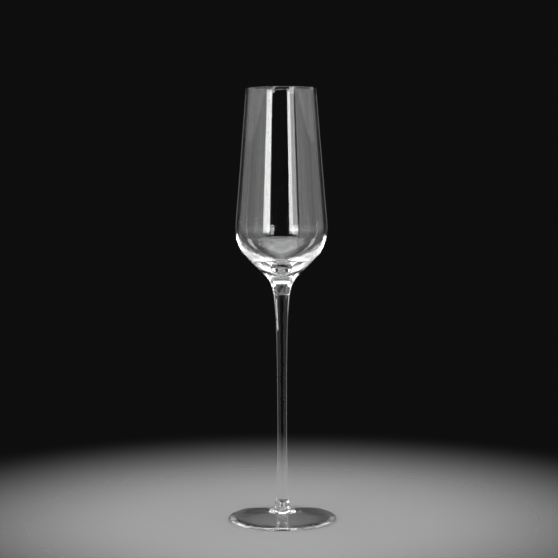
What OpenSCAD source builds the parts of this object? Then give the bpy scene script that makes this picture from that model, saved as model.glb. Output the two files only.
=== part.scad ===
// Champagne flute in clear crystal: a tapered bowl on a long drawn stem and a
// round foot. The three pieces of glass are welded end to end on one axis.
// Millimetres, +Z up, origin on the table under the centre of the foot.

/* [Overall] */
// Height from the table to the lip
total_h = 300; // [285:1:320]
// Sides of every full circle when it is drawn as a mesh
circle_sides = 96; // [48:12:192]

/* [Foot] */
// Diameter of the foot
foot_d = 75; // [68:0.5:80]
// Thickness of the rounded edge of the foot
foot_edge_t = 2; // [1.6:0.1:2.6]
// Rise of the upper face of the foot, in degrees
foot_slope = 8.5; // [7.5:0.5:10]
// Height of the hollow under the centre of the foot
foot_hollow_h = 5; // [3:0.1:5.4]
// Radius at which the upper face turns up into the collar
collar_base_r = 11.5; // [10.5:0.5:13]

/* [Stem] */
// Height of the lower weld, where the stem meets the collar of the foot
lower_weld_z = 13.7; // [13:0.1:16]
// Radius of the stem at the lower weld
lower_weld_r = 4.45; // [4:0.05:5]
// Height of the slimmest place of the stem
waist_z = 64; // [50:1:80]
// Radius of the stem at its slimmest place
waist_r = 3.22; // [2.8:0.02:3.6]
// Height of the upper weld, where the stem meets the neck of the bowl
upper_weld_z = 158; // [152:0.5:160]
// Radius of the stem at the upper weld
upper_weld_r = 5.44; // [5:0.05:6]

/* [Bowl] */
// Height at which the neck curve turns into the belly curve
hip_z = 172.5; // [170:0.5:175]
// Radius at that height
hip_r = 12.7; // [11.5:0.1:14]
// Height at which the belly ends and the straight wall starts
shoulder_z = 225.6; // [224:0.2:228]
// Radius at the start of the straight wall
shoulder_r = 30.16; // [28.5:0.1:31.5]
// Inward lean of the wall, in millimetres of radius for each millimetre of height
wall_lean = 0.08; // [0.07:0.005:0.09]
// Thickness of the wall
wall_t = 0.95; // [0.8:0.05:1.4]
// Thickness of the fire-polished lip
lip_t = 1.1; // [1:0.05:1.5]
// Thickness of the wall at the widest place of the belly
belly_wall_t = 1; // [0.9:0.05:1.5]
// Height of the lowest point inside the bowl
cavity_floor_z = 174; // [173:0.5:180]
// Slope of the cone that the floor inside the bowl makes, in degrees
floor_slope = 27; // [20:1:30]

/* [Hidden] */

curve_steps = 20;
lip_steps = 8;
foot_r = foot_d / 2;
edge_r = foot_edge_t / 2;

// Foot: resting ring, hollow and collar
ring_inner_r = foot_r - 2.5;
hollow_reach = 24;
collar_lean = 0.22;
collar_top_pull = 5;
collar_base_pull = 5.5;

// Stem: how far each curve keeps the direction of its ends
stem_foot_lean = 0.11;
stem_foot_pull = 4.2;
waist_down_pull = 14.6;
waist_up_pull = 71;
stem_neck_lean = 0.125;
stem_neck_pull = 8.4;

// Bowl, outer face
neck_lean = 0.2;
hip_lean = 1.02;
neck_pull = 7.9;
neck_hip_pull = 5.5;
belly_hip_pull = 31.9;
belly_shoulder_pull = 32;

// Bowl, inner face
lip_r = lip_t / 2;
lip_z = total_h - lip_r;
lip_mid_r = shoulder_r - wall_lean * (lip_z - shoulder_z) - lip_r;
lip_taper_h = 3;
widest_below_shoulder = 22.1;
widest_pull = 8;
belly_side_pull = 14;
floor_side_pull = 19;
floor_round_r = 2.5;
floor_round_pull = 1.2;

glass = [0.86, 0.9, 0.92, 0.5];

// Point of a cubic curve at t between 0 and 1
function cubic(a, b, c, d, t) =
    pow(1 - t, 3) * a + 3 * pow(1 - t, 2) * t * b
    + 3 * (1 - t) * t * t * c + pow(t, 3) * d;

// Points of a cubic curve, from its first end up to but not including its last
function curve(a, b, c, d) =
    [for (i = [0 : curve_steps - 1]) cubic(a, b, c, d, i / curve_steps)];

// Step of the given length in a direction that leans outwards by `lean` for each unit up
function along(lean, length) = [lean, 1] * length / norm([lean, 1]);

// Points on an arc round a centre, from one angle to another, both ends included
function arc(centre, radius, from, to, steps) =
    [for (i = [0 : steps])
        let (a = from + (to - from) * i / steps)
        centre + radius * [cos(a), sin(a)]];

lower_weld = [lower_weld_r, lower_weld_z];
upper_weld = [upper_weld_r, upper_weld_z];
hip = [hip_r, hip_z];
shoulder = [shoulder_r, shoulder_z];
waist = [waist_r, waist_z];

// Thin shallow cone of glass with a rounded edge, hollow underneath, and a collar
// that flares up to the lower weld
module foot() {
    edge_centre = [foot_r - edge_r, edge_r];
    upper_edge = edge_centre + edge_r * [sin(foot_slope), cos(foot_slope)];
    collar_base_z = upper_edge[1]
        + (upper_edge[0] - collar_base_r) * tan(foot_slope);
    collar_base = [collar_base_r, collar_base_z];
    hollow_top = [0, foot_hollow_h];
    ring_inner = [ring_inner_r, 0];
    color(glass)
    rotate_extrude($fn = circle_sides)
    polygon(concat(
        curve(hollow_top, hollow_top + [hollow_reach / 2, 0],
            ring_inner - [hollow_reach / 2, 0], ring_inner),
        [ring_inner],
        arc(edge_centre, edge_r, -90, 90 - foot_slope, lip_steps),
        curve(collar_base,
            collar_base + collar_base_pull * [-cos(foot_slope), sin(foot_slope)],
            lower_weld - along(-collar_lean, collar_top_pull), lower_weld),
        [lower_weld, [0, lower_weld_z]]
    ));
}

// Solid rod drawn thin in the middle and wider towards both welds
module stem() {
    color(glass)
    rotate_extrude($fn = circle_sides)
    polygon(concat(
        [[0, lower_weld_z]],
        curve(lower_weld, lower_weld + along(-stem_foot_lean, stem_foot_pull),
            waist - [0, waist_down_pull], waist),
        curve(waist, waist + [0, waist_up_pull],
            upper_weld - along(stem_neck_lean, stem_neck_pull), upper_weld),
        [upper_weld, [0, upper_weld_z]]
    ));
}

// Blown bowl: solid flared neck and base, then a thin wall up to a rounded lip
module bowl() {
    wall_start = shoulder - [wall_t, 0];
    wall_end = [lip_mid_r + lip_r - wall_t + wall_lean * lip_taper_h,
        lip_z - lip_taper_h];
    belly = curve(hip, hip + along(hip_lean, belly_hip_pull),
        shoulder - along(-wall_lean, belly_shoulder_pull), shoulder);
    belly_r = max([for (point = belly) point[0]]);
    widest = [belly_r - belly_wall_t, shoulder_z - widest_below_shoulder];
    floor_way = [cos(floor_slope), sin(floor_slope)];
    floor_middle = [0, cavity_floor_z];
    floor_rim = floor_middle + [floor_round_r, floor_round_r * tan(floor_slope) / 2];
    color(glass)
    rotate_extrude($fn = circle_sides)
    polygon(concat(
        [[0, upper_weld_z]],
        curve(upper_weld, upper_weld + along(neck_lean, neck_pull),
            hip - along(hip_lean, neck_hip_pull), hip),
        belly,
        [shoulder],
        arc([lip_mid_r, lip_z], lip_r, 0, 180, lip_steps),
        [wall_end],
        curve(wall_start, wall_start - along(-wall_lean, widest_pull),
            widest + [0, widest_pull], widest),
        curve(widest, widest - [0, belly_side_pull],
            floor_rim + floor_side_pull * floor_way, floor_rim),
        curve(floor_rim, floor_rim - floor_round_pull * floor_way,
            floor_middle + [floor_round_pull, 0], floor_middle),
        [floor_middle]
    ));
}

foot();
stem();
bowl();
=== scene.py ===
"""Looks of the champagne flute: clear crystal pieces turned finely from the CAD outlines,
in a dark studio with unseen softboxes, on a plain grey floor that fades into the dark through a
painted fall-off of light."""
import math

import bmesh
import bpy
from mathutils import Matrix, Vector


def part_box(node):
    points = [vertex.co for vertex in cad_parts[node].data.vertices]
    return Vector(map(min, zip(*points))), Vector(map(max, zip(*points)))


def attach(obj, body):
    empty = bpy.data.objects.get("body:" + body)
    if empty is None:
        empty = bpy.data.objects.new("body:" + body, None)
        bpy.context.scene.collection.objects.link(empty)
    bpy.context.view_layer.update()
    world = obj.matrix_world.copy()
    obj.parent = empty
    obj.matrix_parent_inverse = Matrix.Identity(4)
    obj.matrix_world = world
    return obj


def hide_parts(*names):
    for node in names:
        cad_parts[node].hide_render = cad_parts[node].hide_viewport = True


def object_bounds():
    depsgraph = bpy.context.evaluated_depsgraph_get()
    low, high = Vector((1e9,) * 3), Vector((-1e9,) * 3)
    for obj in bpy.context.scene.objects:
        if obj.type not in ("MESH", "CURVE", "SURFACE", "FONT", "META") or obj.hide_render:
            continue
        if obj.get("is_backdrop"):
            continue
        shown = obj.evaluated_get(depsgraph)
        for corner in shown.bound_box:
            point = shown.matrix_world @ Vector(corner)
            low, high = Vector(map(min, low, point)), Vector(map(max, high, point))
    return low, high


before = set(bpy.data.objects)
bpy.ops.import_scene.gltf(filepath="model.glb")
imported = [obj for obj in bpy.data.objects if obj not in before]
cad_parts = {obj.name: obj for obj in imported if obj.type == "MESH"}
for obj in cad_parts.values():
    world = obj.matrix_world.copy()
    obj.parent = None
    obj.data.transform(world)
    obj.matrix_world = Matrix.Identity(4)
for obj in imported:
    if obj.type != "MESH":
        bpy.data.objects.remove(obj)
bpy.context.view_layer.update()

MM = 0.001
SCENE = bpy.context.scene


def add(name, data):
    thing = bpy.data.objects.new(name, data)
    SCENE.collection.objects.link(thing)
    return thing


# ---------------------------------------------------------------- outlines of the CAD nodes

# Vertices closer than this in radius and in height belong to one ring
RING_GAP = 0.015 * MM
# An outline that turns less than this at a point has no need of the point
STRAIGHT = math.radians(0.05)
# One that turns more than this has a true corner there
CORNER = math.radians(30)
# Largest turn and largest step between points of the resampled outline
FINE_TURN = math.radians(1.2)
FINE_STEP = 2.0 * MM
# Where a chord is this many times longer than the one beside it, it is a straight stretch
LONG_SIDE = 2.5


def rings(mesh):
    """Groups the vertices of a turned mesh by radius and height. Gives each vertex's ring
    and each ring's mean (radius, height)."""
    places, sums, of_vertex = [], [], []
    for v in mesh.vertices:
        at = Vector((math.hypot(v.co.x, v.co.y), v.co.z))
        for i, place in enumerate(places):
            if abs(at.x - place.x) < RING_GAP and abs(at.y - place.y) < RING_GAP:
                break
        else:
            i = len(places)
            places.append(at)
            sums.append([0, Vector((0.0, 0.0))])
        sums[i][0] += 1
        sums[i][1] += at
        of_vertex.append(i)
    return of_vertex, [total / count for count, total in sums]


def outline(node):
    """The outline of a CAD node as (radius, height), walked so that the glass is on the left:
    outwards underneath, up the outside, and back in over the top."""
    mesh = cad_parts[node].data
    of_vertex, place = rings(mesh)
    after = {}
    for face in mesh.polygons:
        side = Vector((face.center.x, face.center.y)).normalized()
        out = face.normal.x * side.x + face.normal.y * side.y
        way = Vector((-face.normal.z, out))
        ids = {of_vertex[v] for v in face.vertices}
        for a in ids:
            for b in ids:
                if a != b and (place[b] - place[a]).dot(way) > 0:
                    after.setdefault(a, set()).add(b)
    follow = {a: min(bs, key=lambda b: (place[b] - place[a]).length) for a, bs in after.items()}
    start = set(follow) - set(follow.values())
    if len(start) != 1:
        raise RuntimeError(f"{node}: the outline has {len(start)} starts")
    chain = [start.pop()]
    while chain[-1] in follow and len(chain) <= len(place):
        chain.append(follow[chain[-1]])
    points = [place[i] for i in chain]
    kept = [points[0]]
    for here, onward in zip(points[1:-1], points[2:]):
        if (here - kept[-1]).angle(onward - here) > STRAIGHT:
            kept.append(here)
    return kept + [points[-1]]


def smooth_run(points):
    """A finer row of points on the smooth curve through the given ones."""
    chords = [(b - a).length for a, b in zip(points, points[1:])]
    slopes = [(b - a) / c for a, b, c in zip(points, points[1:], chords)]
    ways = [slopes[0]]
    for i in range(1, len(slopes)):
        before, beyond = chords[i - 1], chords[i]
        if beyond > before * LONG_SIDE:
            ways.append(slopes[i])
        elif before > beyond * LONG_SIDE:
            ways.append(slopes[i - 1])
        else:
            ways.append((slopes[i - 1] * beyond + slopes[i] * before) / (before + beyond))
    ways.append(slopes[-1])
    if len(slopes) > 1:
        # The end directions carry on the turn of the end chords
        ways[0] = slopes[0] * 1.5 - ways[1] * 0.5
        ways[-1] = slopes[-1] * 1.5 - ways[-2] * 0.5
    fine = []
    for i, chord in enumerate(chords):
        turn = ways[i].angle(ways[i + 1])
        parts = max(1, math.ceil(turn / FINE_TURN), math.ceil(chord / FINE_STEP))
        for k in range(parts):
            t = k / parts
            a, b = points[i], points[i + 1]
            fine.append(a * (2 * t**3 - 3 * t**2 + 1) + ways[i] * chord * (t**3 - 2 * t**2 + t)
                        + b * (3 * t**2 - 2 * t**3) + ways[i + 1] * chord * (t**3 - t**2))
    return fine + [points[-1]]


def fine_outline(node):
    """The outline resampled on smooth curves between its corners."""
    points = outline(node)
    runs, run = [], [points[0]]
    for i in range(1, len(points) - 1):
        run.append(points[i])
        if (points[i] - points[i - 1]).angle(points[i + 1] - points[i]) > CORNER:
            runs.append(run)
            run = [points[i]]
    runs.append(run + [points[-1]])
    fine = []
    for run in runs:
        fine += smooth_run(run)[: None if run is runs[-1] else -1]
    return fine


# ---------------------------------------------------------------- glass

GLASS_COLOUR = (0.985, 0.99, 0.99, 1)
WHITE = (1, 1, 1, 1)
GLASS_IOR = 1.52
# Refractive index of one melt over the other at the upper weld
MELT_STEP = 1.01

# Noise scales along x, y and z, and relief heights, of the waviness of each piece
BOWL_STREAKS, BOWL_RELIEF = (420, 420, 7), 0.0016 * MM
STEM_STREAKS, STEM_RELIEF = (500, 500, 30), 0.0006 * MM
FOOT_WAVES, FOOT_RELIEF = (250, 250, 250), 0.0006 * MM

# Noise scale and relief of the rings above the upper weld, and how far up they reach
RIPPLE_SCALE, RIPPLE_RELIEF = (150, 150, 850), 0.0023 * MM
RIPPLE_REACH = 7 * MM

# Frosted line at the upper weld: how far up it is at its full roughness, how far up it has
# faded out, and that roughness
WELD_LINE = 0.6 * MM
WELD_LINE_END = WELD_LINE * 1.3
WELD_FROST = 0.7

# Sides of the turned bowl and foot, and of the stem
WIDE_SIDES, STEM_SIDES = 256, 96
# Points closer to the axis than this lie on it
ON_AXIS = 0.01 * MM
# A face whose two heights differ less than FLAT is level, and one within WELD_GAP of a
# weld's height belongs to that weld
FLAT = 1e-7
WELD_GAP = 1e-5


def principled(material):
    return next(n for n in material.node_tree.nodes if n.type == "BSDF_PRINCIPLED")


def glass_material(name, streak_scale, streak_height, weld_z=None):
    """Clear crystal with the faint waviness that hot working leaves. A piece with `weld_z`
    also has a frosted line at that height, and rings that fade out above it."""
    material = bpy.data.materials.new(name)
    material.use_nodes = True
    tree = material.node_tree
    shader = principled(material)
    shader.inputs["Base Color"].default_value = GLASS_COLOUR
    shader.inputs["Roughness"].default_value = 0.0
    shader.inputs["IOR"].default_value = GLASS_IOR
    shader.inputs["Transmission Weight"].default_value = 1.0
    place = tree.nodes.new("ShaderNodeTexCoord")

    def waves(scale, height):
        stretch = tree.nodes.new("ShaderNodeMapping")
        stretch.inputs["Scale"].default_value = scale
        noise = tree.nodes.new("ShaderNodeTexNoise")
        noise.inputs["Scale"].default_value = 1.0
        noise.inputs["Detail"].default_value = 1.0
        size = tree.nodes.new("ShaderNodeMath")
        size.operation = "MULTIPLY"
        size.inputs[1].default_value = height
        tree.links.new(place.outputs["Object"], stretch.inputs["Vector"])
        tree.links.new(stretch.outputs["Vector"], noise.inputs["Vector"])
        tree.links.new(noise.outputs["Fac"], size.inputs[0])
        return size.outputs["Value"]

    relief = waves(streak_scale, streak_height)
    if weld_z is not None:
        apart = tree.nodes.new("ShaderNodeSeparateXYZ")
        fade = tree.nodes.new("ShaderNodeMapRange")
        fade.interpolation_type = "SMOOTHSTEP"
        fade.inputs["From Min"].default_value = weld_z
        fade.inputs["From Max"].default_value = weld_z + RIPPLE_REACH
        fade.inputs["To Min"].default_value = 1.0
        fade.inputs["To Max"].default_value = 0.0
        both = tree.nodes.new("ShaderNodeMath")
        both.operation = "MULTIPLY_ADD"
        tree.links.new(place.outputs["Object"], apart.inputs["Vector"])
        tree.links.new(apart.outputs["Z"], fade.inputs["Value"])
        tree.links.new(waves(RIPPLE_SCALE, RIPPLE_RELIEF), both.inputs[0])
        tree.links.new(fade.outputs["Result"], both.inputs[1])
        tree.links.new(relief, both.inputs[2])
        relief = both.outputs["Value"]
        line = tree.nodes.new("ShaderNodeMapRange")
        line.inputs["From Min"].default_value = weld_z + WELD_LINE
        line.inputs["From Max"].default_value = weld_z + WELD_LINE_END
        line.inputs["To Min"].default_value = WELD_FROST
        line.inputs["To Max"].default_value = 0.0
        tree.links.new(apart.outputs["Z"], line.inputs["Value"])
        tree.links.new(line.outputs["Result"], shader.inputs["Roughness"])
    bump = tree.nodes.new("ShaderNodeBump")
    bump.inputs["Strength"].default_value = 1.0
    bump.inputs["Distance"].default_value = 1.0
    tree.links.new(relief, bump.inputs["Height"])
    tree.links.new(bump.outputs["Normal"], shader.inputs["Normal"])
    return material


def weld_material():
    """The fused face inside a weld: glass on both sides, so light goes straight through."""
    material = bpy.data.materials.new("fused_weld")
    material.use_nodes = True
    tree = material.node_tree
    tree.nodes.clear()
    out = tree.nodes.new("ShaderNodeOutputMaterial")
    clear = tree.nodes.new("ShaderNodeBsdfTransparent")
    clear.inputs["Color"].default_value = WHITE
    tree.links.new(clear.outputs["BSDF"], out.inputs["Surface"])
    return material


def melt_line_material():
    """The fused face of the upper weld, on the bowl: the two melts differ a little, so
    light that grazes the weld is thrown back."""
    material = bpy.data.materials.new("melt_line")
    material.use_nodes = True
    tree = material.node_tree
    tree.nodes.clear()
    out = tree.nodes.new("ShaderNodeOutputMaterial")
    step = tree.nodes.new("ShaderNodeBsdfGlass")
    step.inputs["Color"].default_value = WHITE
    step.inputs["Roughness"].default_value = 0.0
    step.inputs["IOR"].default_value = MELT_STEP
    tree.links.new(step.outputs["BSDF"], out.inputs["Surface"])
    return material


def turned(name, node, sides, glass, weld):
    """A closed glass piece turned from a CAD node's outline, standing in for that node."""
    welds = [corner.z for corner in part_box("stem")]
    points = fine_outline(node)
    if points[0].x > ON_AXIS:
        points.insert(0, Vector((0.0, points[0].y)))
    if points[-1].x > ON_AXIS:
        points.append(Vector((0.0, points[-1].y)))
    bm = bmesh.new()
    loops = []
    for p in points:
        if p.x < ON_AXIS:
            loops.append([bm.verts.new((0, 0, p.y))])
        else:
            loops.append([bm.verts.new((p.x * math.cos(math.tau * k / sides),
                                        p.x * math.sin(math.tau * k / sides), p.y))
                          for k in range(sides)])
    for i, (low, high) in enumerate(zip(loops, loops[1:])):
        a, b = points[i], points[i + 1]
        is_weld = abs(a.y - b.y) < FLAT and min(abs(a.y - w) for w in welds) < WELD_GAP
        for k in range(sides):
            n = (k + 1) % sides
            corners = [low[k % len(low)], low[n % len(low)],
                       high[n % len(high)], high[k % len(high)]]
            face = bm.faces.new(list(dict.fromkeys(corners)))
            face.smooth = True
            face.material_index = 1 if is_weld else 0
    for e in bm.edges:
        if len({f.material_index for f in e.link_faces}) > 1:
            e.smooth = False
    mesh = bpy.data.meshes.new(name)
    bm.to_mesh(mesh)
    bm.free()
    mesh.materials.append(glass)
    mesh.materials.append(weld)
    piece = add(name, mesh)
    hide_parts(node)
    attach(piece, "root")


UPPER_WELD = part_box("bowl")[0].z
fused = weld_material()
melt_line = melt_line_material()
bowl_crystal = glass_material("bowl_crystal", BOWL_STREAKS, BOWL_RELIEF, UPPER_WELD)
turned("bowl_glass", "bowl", WIDE_SIDES, bowl_crystal, melt_line)
stem_crystal = glass_material("stem_crystal", STEM_STREAKS, STEM_RELIEF)
turned("stem_glass", "stem", STEM_SIDES, stem_crystal, fused)
foot_crystal = glass_material("foot_crystal", FOOT_WAVES, FOOT_RELIEF)
turned("foot_glass", "foot", WIDE_SIDES, foot_crystal, fused)

# ---------------------------------------------------------------- studio


def polar(azimuth, distance, height):
    """A place at an angle from the camera's side of the object, positive to the viewer's right."""
    a = math.radians(azimuth)
    return Vector((distance * math.sin(a), -distance * math.cos(a), height))


def softbox(name, centre, aim, width, height, radiance):
    lamp = bpy.data.lights.new(name, "AREA")
    lamp.shape = "RECTANGLE"
    lamp.size, lamp.size_y = width, height
    lamp.energy = radiance * math.pi * width * height
    thing = add(name, lamp)
    thing.location = centre
    thing.rotation_mode = "QUATERNION"
    thing.rotation_quaternion = (aim - centre).to_track_quat("-Z", "Y")
    thing.visible_camera = False


# Distances of the upright strips and of the patches, and the place that most patches face
STRIP_FAR = 1.1
PATCH_FAR = 1.4
BOWL_BASE = Vector((0, 0, 0.18))


def strip(name, start, end, low, high, radiance, far=STRIP_FAR):
    """An upright softbox that faces the axis and fills a range of angles round it."""
    z = (low + high) / 2
    width = 2 * far * math.tan(math.radians(abs(end - start) / 2))
    softbox(name, polar((start + end) / 2, far, z), Vector((0, 0, z)), width, high - low, radiance)


def wall(name, far, start, end, low, high, radiance):
    """A softbox panel parallel to the line of sight, beside the object, between two angles."""
    near_y = -far / math.tan(math.radians(abs(start)))
    back_y = -far / math.tan(math.radians(abs(end)))
    centre = Vector((math.copysign(far, start), (near_y + back_y) / 2, (low + high) / 2))
    softbox(name, centre, Vector((0, centre.y, centre.z)), back_y - near_y, high - low, radiance)


def patch(name, azimuth, half, rise_from, rise_to, radiance, aim=BOWL_BASE):
    """A tilted softbox that faces a place on the axis from above, between two elevations."""
    rise = math.radians((rise_from + rise_to) / 2)
    centre = aim + polar(azimuth, PATCH_FAR * math.cos(rise), PATCH_FAR * math.sin(rise))
    width = 2 * PATCH_FAR * math.cos(rise) * math.tan(math.radians(half))
    height = 2 * PATCH_FAR * math.tan(math.radians((rise_to - rise_from) / 2))
    softbox(name, centre, aim, width, height, radiance)


# Heights that an upright softbox can fill: `box` above the floor, `glow` across its level and
# `deep` below it. The last two stand in, dimmer, for what a wide shiny table would throw back
# into the crystal: the small matt floor throws back nothing of the kind.
LEVELS = {"box": (0.1, 1.3), "glow": (-0.3, 0.1), "deep": (-0.9, -0.3)}

# Top of the upright strips, and the name, first and last angle and radiances of each
STRIP_TOP = 0.6
STRIPS = (
    ("left_strip", -29, -46, {"box": 9.5, "glow": 0.4, "deep": 0.5}),
    ("right_strip", 19.6, 28.5, {"box": 9.2, "deep": 0.5}),
    ("right_strip_rim", 28.5, 40.5, {"box": 3.7, "glow": 0.5, "deep": 0.5}),
    ("front_table", -16, 16, {"deep": 1.0}),
)
for name, start, end, radiances in STRIPS:
    for level, radiance in radiances.items():
        low, high = LEVELS[level]
        strip(f"{name}_{level}", start, end, low, min(high, STRIP_TOP), radiance)

# Distance, angles, heights and radiance of two dim strips behind the bowl and close to it
RIM_FAR = 0.34
RIM_ANGLES = (148.6, 158.9)
RIM_HEIGHTS = (0.152, 0.3)
RIM_RADIANCE = 0.12
for side, sign in (("left", -1), ("right", 1)):
    start, end = (sign * angle for angle in RIM_ANGLES)
    strip(f"{side}_rim", start, end, *RIM_HEIGHTS, RIM_RADIANCE, RIM_FAR)

# Distance to the side of the panels beside the object, the first and last angle and radiance
# of each, and the share of that radiance at each level
SIDE_FAR = 0.95
PANELS = ((46, 52, 1.4), (52, 60, 1.2), (60, 64, 1.4), (64, 74, 1.15), (74, 80, 0.95), (80, 84, 1.1),
          (84, 95, 0.78), (95, 101, 0.92), (101, 112, 0.66), (112, 116, 0.72), (116, 123, 0.5),
          (123, 126, 0.75))
PANEL_LEVELS = {"box": 1.0, "glow": 0.35, "deep": 0.62}
for side, sign in (("left", -1), ("right", 1)):
    for start, end, radiance in PANELS:
        for level, share in PANEL_LEVELS.items():
            wall(f"{side}_{start}_{level}", SIDE_FAR, sign * start, sign * end,
                 *LEVELS[level], radiance * share)

# Angle to either side and radiance of each high patch, all between the same elevations
PATCH_HALF = 15
HIGH_RISE = (48, 70)
HIGH = ((0, 4.5), (30, 4.7), (60, 5.0), (90, 3.7), (120, 2.5), (150, 1.0))
for azimuth, radiance in HIGH:
    for turn in sorted({azimuth, -azimuth}):
        patch(f"high_{turn}", turn, PATCH_HALF, *HIGH_RISE, radiance)

# Two patches behind the object, turned towards the foot
BACK_AZIMUTH = 135
BACK_RISE = (31, 41)
BACK_RADIANCE = 5.0
FOOT_MIDDLE = Vector((0, 0, 0.005))
for azimuth in (-BACK_AZIMUTH, BACK_AZIMUTH):
    patch(f"back_{azimuth}", azimuth, PATCH_HALF, *BACK_RISE, BACK_RADIANCE, FOOT_MIDDLE)

TOP_HEIGHT, TOP_SIDE, TOP_RADIANCE = 1.6, 0.9, 4.0
softbox("top", Vector((0, 0, TOP_HEIGHT)), Vector((0, 0, 0)), TOP_SIDE, TOP_SIDE, TOP_RADIANCE)

BACKDROP_STRENGTH = 0.0045
world = bpy.data.worlds.new("studio")
SCENE.world = world
world.use_nodes = True
backdrop = next(n for n in world.node_tree.nodes if n.type == "BACKGROUND")
backdrop.inputs["Color"].default_value = WHITE
backdrop.inputs["Strength"].default_value = BACKDROP_STRENGTH

FLOOR_COLOUR = (0.2, 0.2, 0.2, 1)
FLOOR_R = 0.4
# Distances from the axis between which the floor fades out: a painted fall-off of light, so the
# floor reads as a pool of light round the object that fades into the dark
FLOOR_PAINTED_FALLOFF = (0.05, 0.34)
# How far the floor lies under the foot, so that the two faces don't coincide
FLOOR_DROP = 0.02 * MM


def floor_material():
    """Plain matt grey sheet, lit evenly by the lamps, that grows clear away from the object: a
    painted fall-off of light, so that round the object it reads as a pool of pale light fading into
    the dark."""
    material = bpy.data.materials.new("pale_floor")
    material.use_nodes = True
    tree = material.node_tree
    shader = principled(material)
    shader.inputs["Base Color"].default_value = FLOOR_COLOUR
    shader.inputs["Roughness"].default_value = 0.9
    shader.inputs["Specular IOR Level"].default_value = 0.1
    place = tree.nodes.new("ShaderNodeTexCoord")
    length = tree.nodes.new("ShaderNodeVectorMath")
    length.operation = "LENGTH"
    # Painted fall-off of light: the sheet grows clear with distance from the axis, so the dark world
    # shows through
    fade = tree.nodes.new("ShaderNodeMapRange")
    fade.interpolation_type = "SMOOTHERSTEP"
    fade.inputs["From Min"].default_value = FLOOR_PAINTED_FALLOFF[0]
    fade.inputs["From Max"].default_value = FLOOR_PAINTED_FALLOFF[1]
    fade.inputs["To Min"].default_value = 1.0
    fade.inputs["To Max"].default_value = 0.0
    tree.links.new(place.outputs["Object"], length.inputs[0])
    tree.links.new(length.outputs["Value"], fade.inputs["Value"])
    tree.links.new(fade.outputs["Result"], shader.inputs["Alpha"])
    return material


def floor():
    bm = bmesh.new()
    bmesh.ops.create_circle(bm, cap_ends=True, radius=FLOOR_R, segments=128)
    mesh = bpy.data.meshes.new("floor")
    bm.to_mesh(mesh)
    bm.free()
    mesh.materials.append(floor_material())
    piece = add("floor", mesh)
    piece.location.z = -FLOOR_DROP
    piece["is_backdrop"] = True


floor()

CAMERA_AT = Vector((-1.15 * MM, -1.6145, 0.36485))
PITCH = math.radians(6.93)
ROLL = math.radians(0.2)
FOCAL_LENGTH, SENSOR_WIDTH = 152.49, 36
camera = add("camera", bpy.data.cameras.new("camera"))
camera.data.lens = FOCAL_LENGTH
camera.data.sensor_width = SENSOR_WIDTH
camera.location = CAMERA_AT
camera.rotation_euler = (math.pi / 2 - PITCH, ROLL, 0)
SCENE.camera = camera

# Light passes many glass faces on its way through the base, the neck and the foot
BOUNCES = 32
SCENE.view_settings.view_transform = "Standard"
SCENE.cycles.max_bounces = BOUNCES
SCENE.cycles.transmission_bounces = BOUNCES
SCENE.cycles.glossy_bounces = BOUNCES
SCENE.cycles.transparent_max_bounces = BOUNCES

low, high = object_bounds()
